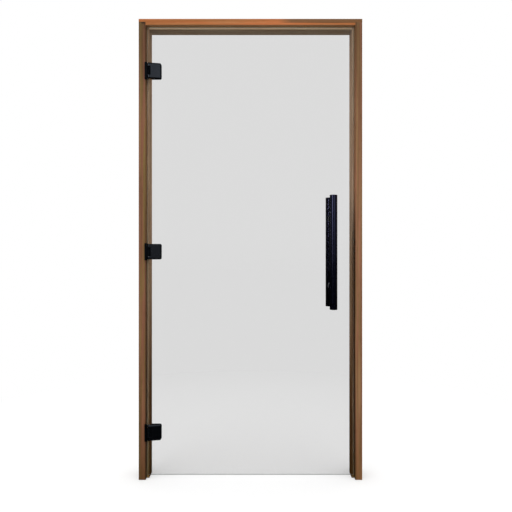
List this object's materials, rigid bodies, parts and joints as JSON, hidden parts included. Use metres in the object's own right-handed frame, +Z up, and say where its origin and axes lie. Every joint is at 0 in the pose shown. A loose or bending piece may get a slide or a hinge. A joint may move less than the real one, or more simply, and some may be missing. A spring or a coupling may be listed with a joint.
{
  "type": "sauna door",
  "caption": "Frameless glass sauna door on clamp hinges in a wooden frame, with a vertical pull handle on both sides.",
  "frame": {"origin": "on the hinge jamb's outer face, at the middle of the frame's depth and height", "axes": "+Z up, -Y towards the outside where the door opens, +X from the hinges to the catch"},
  "size_m": [0.965, 0.191, 1.99],
  "materials": {
    "cedar": "oiled cedar",
    "black_metal": "satin black",
    "steel": "plain",
    "glass": "clear tempered",
    "pad": "clear plastic"
  },
  "bodies": {
    "frame": {"hinge_jamb": "cedar", "strike_jamb": "cedar", "head_jamb": "cedar", "hinge_stop": "cedar", "strike_stop": "cedar", "head_stop": "cedar", "catch_plate": "black_metal", "catch_ball": "steel", "top_hinge_leaf": "black_metal", "top_hinge_pin": "steel", "middle_hinge_leaf": "black_metal", "middle_hinge_pin": "steel", "bottom_hinge_leaf": "black_metal", "bottom_hinge_pin": "steel"},
    "door": {"glass_panel": "glass", "handle_washers": "pad", "top_hinge_outer_clamp": "black_metal", "top_hinge_inner_clamp": "black_metal", "top_hinge_pads": "pad", "middle_hinge_outer_clamp": "black_metal", "middle_hinge_inner_clamp": "black_metal", "middle_hinge_pads": "pad", "bottom_hinge_outer_clamp": "black_metal", "bottom_hinge_inner_clamp": "black_metal", "bottom_hinge_pads": "pad", "outer_handle_bar": "black_metal", "outer_handle_upper_cap": "black_metal", "outer_handle_upper_post": "black_metal", "outer_handle_upper_collar": "black_metal", "outer_handle_lower_cap": "black_metal", "outer_handle_lower_post": "black_metal", "outer_handle_lower_collar": "black_metal", "inner_handle_bar": "black_metal", "inner_handle_upper_cap": "black_metal", "inner_handle_upper_post": "black_metal", "inner_handle_upper_collar": "black_metal", "inner_handle_lower_cap": "black_metal", "inner_handle_lower_post": "black_metal", "inner_handle_lower_collar": "black_metal", "upper_handle_stud": "steel", "lower_handle_stud": "steel"}
  },
  "joints": [
    {"name": "door_swing", "type": "hinge", "parent": "frame", "child": "door", "pos_m": [0.046, -0.06, 0], "axis": [0, 0, -1], "range_deg": [0, 100]}
  ]
}
